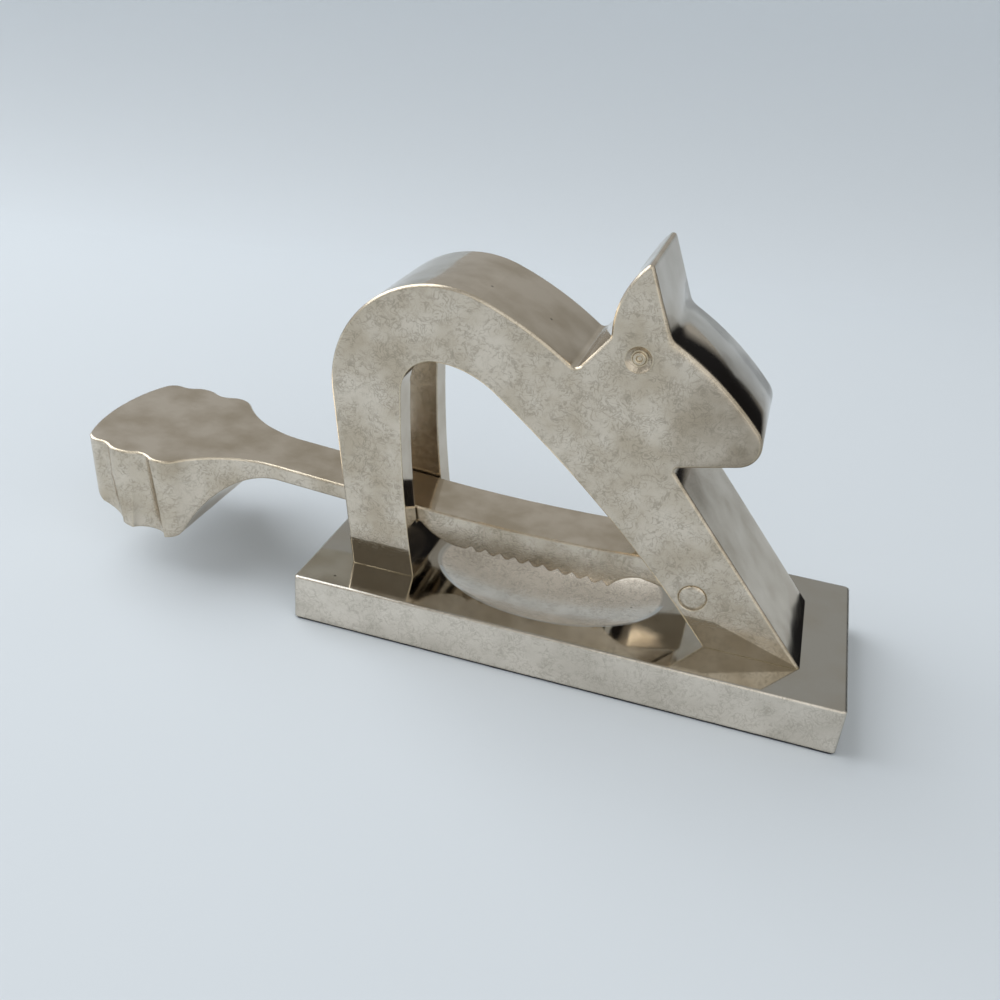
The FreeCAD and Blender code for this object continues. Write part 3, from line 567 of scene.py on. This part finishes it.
@dataclass(frozen=True)
class CrownedNickelPlate(PolishedNickelPlate):
    """The same plate on the squirrel, whose head was buffed round and which is painted darker in
    places.

    The head's front is crowned from side to side, so it gathers a wide part of the room into a
    narrow one. The muzzle has darker patches, the faces that look forward have painted shade and
    the feet have a painted dark reflection of the base's top.
    """

    name: str = "polished nickel plate, crowned"
    # Colour of the muzzle's darker patches, the painted shade and the painted reflection at the
    # feet.
    shade_reflection_and_patch: str = "#847763"
    wave_height: float = 0.22

    # Where the darker patches, the painted shade and the painted reflection lie, and how much of
    # them.
    muzzle_ahead: Ramp = Ramp(17.0, 40.0, 0.0, 0.75)
    muzzle_above: Ramp = Ramp(64.0, 76.0)
    muzzle_detail: float = 3.0
    muzzle_patches: Ramp = Ramp(0.35, 0.60, 0.6, 1.0)
    # Faces that look forward are painted darker: painted shade.
    facing_forward: Ramp = Ramp(0.3, 0.6, 0.0, 0.3)
    # How much the feet are painted darker, as a painted reflection of the base's top.
    foot_reflection_share: float = 0.75
    foot_top: Ramp = Ramp(25.0, 25.4, 1.0, 0.0)
    foot_narrows: Ramp = Ramp(44.0, 71.0, 0.0, 9.0)

    # Where the head is, how round its edges are and how far its front leans at either side.
    head_ahead: Ramp = Ramp(14.0, 17.0)
    head_above: Ramp = Ramp(66.0, 72.0)
    head_radii: Ramp = Ramp(0.0, 1.0, 0.8, 3.0)
    head_samples: int = 6
    head_lean: Ramp = Ramp(-20.0, 20.0, -0.22, 0.22)

    def darkened(
        self, tree: Tree, place: Socket, satin: Node, tint: Socket
    ) -> tuple[Socket, Node]:
        """Add the darker patches, the painted shade and the painted reflection, and keep the feet a
        mirror.

        Args:
            tree: Tree of the material.
            place: Place on the object.
            satin: Share of satin.
            tint: The colour so far.

        Returns:
            The colour with the darker patches, painted shade and painted reflection on it, and the
            share of satin that is left.
        """
        foot = add_node(tree, MATH, MULTIPLY, {0: self.foot(tree, place), 1: satin})
        # Painted reflection of the base's top in the band at the feet.
        foot_reflection = add_node(tree, MATH, MULTIPLY, {0: foot, 1: self.foot_reflection_share})
        # Darker patches over the muzzle, painted shade on forward faces, painted reflection at the
        # feet.
        for share in (self.muzzle(tree, place), self.front(tree), foot_reflection):
            tint = add_node(
                tree, MIX, COLOURS, {"Factor": share, "A": tint, "B": linear(self.shade_reflection_and_patch)}
            ).outputs["Result"]
        return tint, add_node(tree, MATH, SUBTRACT, {0: satin, 1: foot})

    def muzzle(self, tree: Tree, place: Socket) -> Node:
        """Share of the darker colour over the muzzle, in soft patches.

        Args:
            tree: Tree of the material.
            place: Place on the object.

        Returns:
            A node whose value is the share.
        """
        axes = add_node(tree, AXES, inputs={"Vector": place}).outputs
        ahead = add_node(tree, MAP_RANGE, inputs=self.muzzle_ahead.of(axes["X"], MILLIMETRE))
        above = add_node(tree, MAP_RANGE, inputs=self.muzzle_above.of(axes["Z"], MILLIMETRE))
        near_tip = add_node(tree, MATH, MULTIPLY, {0: ahead, 1: above})
        cloud = add_node(
            tree, NOISE,
            inputs={"Vector": place, "Scale": scale_of(self.cloud_size),
                    "Detail": self.muzzle_detail},
        )
        patches = add_node(tree, MAP_RANGE, inputs=self.muzzle_patches.of(cloud))
        return add_node(tree, MATH, MULTIPLY, {0: near_tip, 1: patches})

    def front(self, tree: Tree) -> Node:
        """Share of painted shade on the faces that look forward.

        Args:
            tree: Tree of the material.

        Returns:
            A node whose value is the share.
        """
        normal = add_node(tree, GEOMETRY).outputs["Normal"]
        ahead = add_node(tree, AXES, inputs={"Vector": normal}).outputs["X"]
        return add_node(tree, MAP_RANGE, inputs=self.facing_forward.of(ahead))

    def foot(self, tree: Tree, place: Socket) -> Node:
        """Find the band at the legs' feet, where the base kept the linishing belt away.

        The band keeps its mirror and is painted darker, as a painted reflection of the base's top.
        It narrows towards the toe.

        Args:
            tree: Tree of the material.
            place: Place on the object.

        Returns:
            A node whose value is 1 in the band.
        """
        axes = add_node(tree, AXES, inputs={"Vector": place}).outputs
        drop = add_node(
            tree, MAP_RANGE, inputs=self.foot_narrows.of(axes["X"], MILLIMETRE, MILLIMETRE)
        )
        height = add_node(tree, MATH, ADD, {0: axes["Z"], 1: drop})
        return add_node(tree, MAP_RANGE, inputs=self.foot_top.of(height, MILLIMETRE))

    def head(self, tree: Tree, place: Socket) -> Node:
        """Find the head, whose front was buffed round, by its place on the casting.

        Args:
            tree: Tree of the material.
            place: Place on the object.

        Returns:
            A node whose value is 1 on the head.
        """
        axes = add_node(tree, AXES, inputs={"Vector": place}).outputs
        ahead = add_node(tree, MAP_RANGE, inputs=self.head_ahead.of(axes["X"], MILLIMETRE))
        above = add_node(tree, MAP_RANGE, inputs=self.head_above.of(axes["Z"], MILLIMETRE))
        return add_node(tree, MATH, MULTIPLY, {0: ahead, 1: above})

    def rounded(self, tree: Tree, place: Socket) -> Node:
        """Round every edge, most on the head, and crown its front from side to side.

        Args:
            tree: Tree of the material.
            place: Place on the object.

        Returns:
            A node whose value is the surface's direction.
        """
        head = self.head(tree, place)
        radius = add_node(
            tree, MAP_RANGE, inputs=self.head_radii.of(head, out_unit=MILLIMETRE)
        )
        turned = add_node(
            tree, "ShaderNodeBevel", {"samples": self.head_samples}, {"Radius": radius}
        )
        across = add_node(tree, AXES, inputs={"Vector": place}).outputs["Y"]
        lean = add_node(tree, MAP_RANGE, inputs=self.head_lean.of(across, MILLIMETRE))
        on_head = add_node(tree, MATH, MULTIPLY, {0: lean, 1: head})
        tilt = add_node(tree, "ShaderNodeCombineXYZ", inputs={"Y": on_head})
        crowned = add_node(tree, VECTOR_MATH, ADD, {0: turned, 1: tilt})
        return add_node(tree, VECTOR_MATH, NORMALIZE, {0: crowned})


@dataclass(frozen=True)
class TurnedSteel:
    """Zinc-bright machine steel, turned on a lathe, which leaves a plain grey satin."""

    name: str = "turned screw steel"
    colour: str = "#B9BABD"
    grain_size: float = 0.8
    grain_detail: float = 2.0
    satin_roughness: Ramp = Ramp(0.0, 1.0, 0.28, 0.42)

    def build(self) -> bpy.types.Material:
        """Build the node material.

        Returns:
            The finished material.
        """
        material, tree = new_material(self.name)
        place = add_node(tree, "ShaderNodeTexCoord").outputs["Object"]
        grain = add_node(
            tree, NOISE,
            inputs={"Vector": place, "Scale": scale_of(self.grain_size),
                    "Detail": self.grain_detail},
        )
        roughness = add_node(tree, MAP_RANGE, inputs=self.satin_roughness.of(grain))
        shader = add_node(
            tree, "ShaderNodeBsdfPrincipled",
            inputs={"Base Color": linear(self.colour), "Metallic": 1.0, "Roughness": roughness},
        )
        add_node(tree, "ShaderNodeOutputMaterial", inputs={"Surface": shader})
        return material


@dataclass(frozen=True)
class PressedFelt:
    """Dyed wool felt, pressed into a sheet: matt, with a short nap that lightens its edge."""

    name: str = "pressed wool felt"
    dark: str = "#12141C"
    light: str = "#2A2D3B"
    fibre_size: float = 0.5
    fibre_detail: float = 5.0
    fibre_bend: float = 1.5
    nap_height: float = 0.3
    nap_strength: float = 0.6
    roughness: float = 0.95
    sheen: float = 0.35

    def build(self) -> bpy.types.Material:
        """Build the node material.

        Returns:
            The finished material.
        """
        material, tree = new_material(self.name)
        place = add_node(tree, "ShaderNodeTexCoord").outputs["Object"]
        fibres = add_node(
            tree, NOISE,
            inputs={"Vector": place, "Scale": scale_of(self.fibre_size),
                    "Detail": self.fibre_detail, "Distortion": self.fibre_bend},
        )
        colour = add_node(
            tree, MIX, COLOURS,
            {"Factor": fibres, "A": linear(self.dark), "B": linear(self.light)},
        ).outputs["Result"]
        nap = add_node(
            tree, "ShaderNodeBump",
            inputs={"Height": fibres, "Strength": self.nap_strength,
                    "Distance": self.nap_height * MILLIMETRE},
        )
        shader = add_node(
            tree, "ShaderNodeBsdfPrincipled",
            inputs={"Base Color": colour, "Roughness": self.roughness,
                    "Sheen Weight": self.sheen, "Normal": nap},
        )
        add_node(tree, "ShaderNodeOutputMaterial", inputs={"Surface": shader})
        return material


@dataclass(frozen=True)
class PaleSweep:
    """Matt painted board of the studio sweep, a plain bluish white."""

    name: str = "matt studio board"
    colour: str = "#D6DCE2"
    roughness: float = 0.9

    def build(self) -> bpy.types.Material:
        """Build the node material.

        Returns:
            The finished material.
        """
        material, tree = new_material(self.name)
        shader = add_node(
            tree, "ShaderNodeBsdfPrincipled",
            inputs={"Base Color": linear(self.colour), "Roughness": self.roughness},
        )
        add_node(tree, "ShaderNodeOutputMaterial", inputs={"Surface": shader})
        return material


@dataclass
class FeltSheet:
    """Felt glued under the base plate, cut by hand a little inside its edge.

    Its sizes are in millimetres. Each level gives a share of the sheet's height and how much of
    the bulge the edge has there. The inward share draws the wander back inside the cut line.
    """

    edge_step: float = 1.2
    edge_wander: float = 0.18
    wander_size: float = 4.0
    inward_share: float = 0.5
    edge_bulge: float = 0.12
    corner_radius: float = 1.5
    corner_steps: int = 3
    levels: tuple[tuple[float, float], ...] = ((0.0, 0.5), (0.4, 1.0), (1.0, 0.4))

    def build(self, material: bpy.types.Material) -> bpy.types.Object:
        """Build the sheet in the space of its CAD node and put it in that node's place.

        Args:
            material: Felt finish.

        Returns:
            The finished sheet.
        """
        low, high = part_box("felt_pad")
        half_x = (high.x - low.x) / 2
        half_y = (high.y - low.y) / 2
        centre = (low + high) / 2
        rim = self.rim(half_x, half_y)
        mesh = bpy.data.meshes.new("felt_sheet")
        build = bmesh.new()
        rings = [
            [
                build.verts.new(
                    (
                        centre.x + point.x + outward.x * self.edge_bulge * share * MILLIMETRE,
                        centre.y + point.y + outward.y * self.edge_bulge * share * MILLIMETRE,
                        low.z * (1 - height) + high.z * height,
                    )
                )
                for point, outward in rim
            ]
            for height, share in self.levels
        ]
        count = len(rim)
        for below, above in zip(rings, rings[1:]):
            for index in range(count):
                after = (index + 1) % count
                build.faces.new((below[index], below[after], above[after], above[index]))
        build.faces.new(list(reversed(rings[0])))
        build.faces.new(rings[-1])
        build.to_mesh(mesh)
        build.free()
        sheet = bpy.data.objects.new("felt_sheet", mesh)
        bpy.context.scene.collection.objects.link(sheet)
        mesh.materials.append(material)
        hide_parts("felt_pad")
        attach(sheet, Body.STAND.value)
        return sheet

    def rim(self, half_x: float, half_y: float) -> list[tuple[Vector, Vector]]:
        """Walk round the sheet's edge with the small wander of a hand-cut line.

        Args:
            half_x: Half of the sheet's length.
            half_y: Half of its width.

        Returns:
            Points of the edge, each with its outward direction.
        """
        corner = self.corner_radius * MILLIMETRE
        inner_x = half_x - corner
        inner_y = half_y - corner
        points: list[tuple[Vector, Vector]] = []
        for sign_x, sign_y, first in ((1, 1, 0), (-1, 1, 90), (-1, -1, 180), (1, -1, 270)):
            for step in range(self.corner_steps + 1):
                angle = math.radians(first + step * 90 / self.corner_steps)
                outward = Vector((math.cos(angle), math.sin(angle)))
                middle = Vector((sign_x * inner_x, sign_y * inner_y))
                points.append((middle + outward * corner, outward))
        walked: list[tuple[Vector, Vector]] = []
        for (start, out_a), (end, out_b) in zip(points, points[1:] + points[:1]):
            pieces = max(1, round((end - start).length / (self.edge_step * MILLIMETRE)))
            for piece in range(pieces):
                share = piece / pieces
                point = start.lerp(end, share)
                outward = out_a.lerp(out_b, share).normalized()
                spot = Vector((point.x, point.y, 0)) / (self.wander_size * MILLIMETRE)
                wander = noise.noise(spot) - self.inward_share
                walked.append((point + outward * wander * self.edge_wander * MILLIMETRE, outward))
        return walked


@dataclass
class PlatedPieces:
    """The plated castings and their pin, shown as the CAD model gives them."""

    flat_nodes: tuple[str, ...] = ("tail_lever", "pivot_pin")
    ground_node: str = "base_plate"
    crowned_node: str = "squirrel_frame"

    def dress(
        self, flat: bpy.types.Material, ground: bpy.types.Material, crowned: bpy.types.Material
    ) -> list[bpy.types.Object]:
        """Give every plated piece its finish.

        Args:
            flat: Plated finish of the pieces with flat faces.
            ground: Plated finish of the base, which was ground flat and has aged least.
            crowned: Plated finish of the casting, whose head is crowned.

        Returns:
            The dressed pieces.
        """
        pieces = [dress_node(node, flat) for node in self.flat_nodes]
        # The base's finish carries painted shade on its top and painted light on its sides.
        pieces.append(dress_node(self.ground_node, ground))
        return [*pieces, dress_node(self.crowned_node, crowned)]


@dataclass
class BaseScrews:
    """The countersunk screws under the base."""

    node: str = "base_screws"

    def dress(self, material: bpy.types.Material) -> bpy.types.Object:
        """Give the screws their finish and return them."""
        return dress_node(self.node, material)


def dress_node(node: str, material: bpy.types.Material) -> bpy.types.Object:
    """Put one finish on a CAD node.

    Args:
        node: Name of the CAD node.
        material: Finish that it gets.

    Returns:
        The node's object.
    """
    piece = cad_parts[node]
    piece.data.materials.clear()
    piece.data.materials.append(material)
    return piece


@dataclass(frozen=True)
class Lamp:
    """A square lamp: where it hangs, its width in metres and its power in watts."""

    name: str
    place: Place
    width: float
    power: float


@dataclass
class Studio:
    """Pale floor and backdrop, soft lamps and the camera at the photograph's angle.

    Lengths are in metres, turns in degrees and the lens in millimetres.
    """

    floor_reach: float = 3.0
    wall_distance: float = 0.56
    wall_turn: float = 14.3
    wall_left: float = 1.6
    wall_right: float = 0.47
    wall_height: float = 0.21
    sweep_radius: float = 0.16
    sweep_steps: int = 14
    weld: float = 0.0001
    room: str = "#ADADAA"
    window: str = "#D3D7DC"
    doorway: str = "#26272A"
    beyond: str = "#C6CDD4"
    window_side: Ramp = Ramp(-0.35, -0.9)
    doorway_direction: Place = (0.68, 0.66, 0.32)
    doorway_edge: Ramp = Ramp(0.873, 0.923)
    daylight: Place = (0.95, 0.98, 1.0)
    lamps: tuple[Lamp, ...] = (
        Lamp("window", (-1.5, 0.35, 1.6), 2.1, 37.5),
        Lamp("fill", (0.8, -1.0, 0.8), 2.2, 9.0),
    )
    camera_place: Place = (0.0435, -0.2868, 0.1991)
    camera_target: Place = (-0.0401, 0.0413, 0.0158)
    camera_roll: float = 5.523
    focal_length: float = 37.8
    sensor_width: float = 36.0
    nearest_seen: float = 0.01

    def build(self) -> None:
        """Set up the sweep, the lamps, the world and the camera."""
        board = PaleSweep().build()
        self.build_floor(board)
        self.build_backdrop(board)
        self.build_world()
        for lamp in self.lamps:
            self.hang(lamp)
        self.build_camera()
        bpy.context.scene.view_settings.view_transform = "Standard"

    def build_floor(self, board: bpy.types.Material) -> None:
        """Lay the floor, which ends where the backdrop begins to rise.

        Args:
            board: Material of the sweep.
        """
        reach = self.floor_reach
        front = self.wall_distance - self.sweep_radius
        turn = Matrix.Rotation(math.radians(self.wall_turn), 4, "Z")
        corners = ((-reach, -reach), (reach, -reach), (reach, reach), (self.wall_right, reach),
                   (self.wall_right, front), (-self.wall_left, front), (-self.wall_left, reach),
                   (-reach, reach))
        self.stage_mesh(
            "studio_floor", board, [[turn @ Vector((x, y, 0)) for x, y in corners]]
        )

    def build_backdrop(self, board: bpy.types.Material) -> None:
        """Bend the backdrop up from the floor, square to the camera and no wider than it needs.

        Args:
            board: Material of the sweep.
        """
        turn = Matrix.Rotation(math.radians(self.wall_turn), 4, "Z")
        front = self.wall_distance - self.sweep_radius
        radius = self.sweep_radius
        turns = [math.radians(90) * step / self.sweep_steps for step in range(self.sweep_steps + 1)]
        profile = [
            (front + radius * math.sin(angle), radius * (1 - math.cos(angle))) for angle in turns
        ]
        profile.append((self.wall_distance, self.wall_height))
        rows = [
            [turn @ Vector((x, y, z)) for x in (-self.wall_left, self.wall_right)]
            for y, z in profile
        ]
        self.stage_mesh(
            "studio_backdrop", board,
            [[low[0], low[1], high[1], high[0]] for low, high in zip(rows, rows[1:])],
        )

    def stage_mesh(
        self, name: str, board: bpy.types.Material, faces: list[list[Vector]]
    ) -> None:
        """Make a stage object of faces that share the corners where they meet.

        Args:
            name: Name of the object.
            board: Its material.
            faces: Corners of each face.
        """
        mesh = bpy.data.meshes.new(name)
        build = bmesh.new()
        for corners in faces:
            build.faces.new([build.verts.new(corner) for corner in corners]).smooth = True
        bmesh.ops.remove_doubles(build, verts=build.verts[:], dist=self.weld)
        build.to_mesh(mesh)
        build.free()
        piece = bpy.data.objects.new(name, mesh)
        bpy.context.scene.collection.objects.link(piece)
        mesh.materials.append(board)

    def build_world(self) -> None:
        """Give the room a mid grey, paler at the window's side and dark where a doorway is.

        The camera itself sees plain pale board wherever it looks past the sweep.
        """
        world = bpy.data.worlds.new("studio room")
        bpy.context.scene.world = world
        world.use_nodes = True
        tree = world.node_tree
        tree.nodes.clear()
        direction = add_node(tree, "ShaderNodeTexCoord").outputs["Generated"]
        sideways = add_node(tree, AXES, inputs={"Vector": direction}).outputs["X"]
        towards = add_node(
            tree, VECTOR_MATH, DOT,
            {0: direction, 1: Vector(self.doorway_direction).normalized()},
        ).outputs["Value"]
        seen = add_node(tree, "ShaderNodeLightPath").outputs["Is Camera Ray"]
        colour = linear(self.room)
        for share, beyond in (
            (add_node(tree, MAP_RANGE, inputs=self.window_side.of(sideways)), self.window),
            (add_node(tree, MAP_RANGE, inputs=self.doorway_edge.of(towards)), self.doorway),
            (seen, self.beyond),
        ):
            colour = add_node(
                tree, MIX, COLOURS, {"Factor": share, "A": colour, "B": linear(beyond)}
            ).outputs["Result"]
        light = add_node(
            tree, "ShaderNodeBackground", inputs={"Color": colour, "Strength": 1.0}
        )
        add_node(tree, "ShaderNodeOutputWorld", inputs={"Surface": light})

    def hang(self, lamp: Lamp) -> None:
        """Hang a lamp so that it faces the object.

        Args:
            lamp: The lamp that is hung.
        """
        data = bpy.data.lights.new(lamp.name, "AREA")
        data.size = lamp.width
        data.energy = lamp.power
        data.color = self.daylight
        piece = bpy.data.objects.new(lamp.name, data)
        piece.location = lamp.place
        towards = Vector(self.camera_target) - Vector(lamp.place)
        piece.rotation_euler = towards.to_track_quat("-Z", "Y").to_euler()
        bpy.context.scene.collection.objects.link(piece)

    def build_camera(self) -> None:
        """Stand the camera where the photograph was taken from, with the same slight roll."""
        place = Vector(self.camera_place)
        forward = (Vector(self.camera_target) - place).normalized()
        right = forward.cross(Vector((0, 0, 1))).normalized()
        up = right.cross(forward)
        roll = math.radians(self.camera_roll)
        rolled_right = right * math.cos(roll) + up * math.sin(roll)
        rolled_up = up * math.cos(roll) - right * math.sin(roll)
        data = bpy.data.cameras.new("camera")
        data.lens = self.focal_length
        data.sensor_width = self.sensor_width
        data.clip_start = self.nearest_seen
        camera = bpy.data.objects.new("camera", data)
        turn = Matrix((rolled_right, rolled_up, -forward)).transposed().to_4x4()
        camera.matrix_world = Matrix.Translation(place) @ turn
        bpy.context.scene.collection.objects.link(camera)
        bpy.context.scene.camera = camera


def main() -> None:
    """Build every piece's looks, then the studio."""
    logging.basicConfig(level=logging.INFO, format="%(message)s")
    flat = PolishedNickelPlate().build()
    # The base's plate, with painted shade on its top and painted light on its sides.
    ground = ShadedAndLitBaseNickelPlate().build()
    crowned = CrownedNickelPlate().build()
    for piece in PlatedPieces().dress(flat, ground, crowned):
        LOG.info("plated: %s", piece.name)
    screws = BaseScrews().dress(TurnedSteel().build())
    LOG.info("steel: %s", screws.name)
    felt = FeltSheet().build(PressedFelt().build())
    LOG.info("felt: %s", felt.name)
    Studio().build()
    LOG.info("studio ready")


if __name__ == "__main__":
    main()
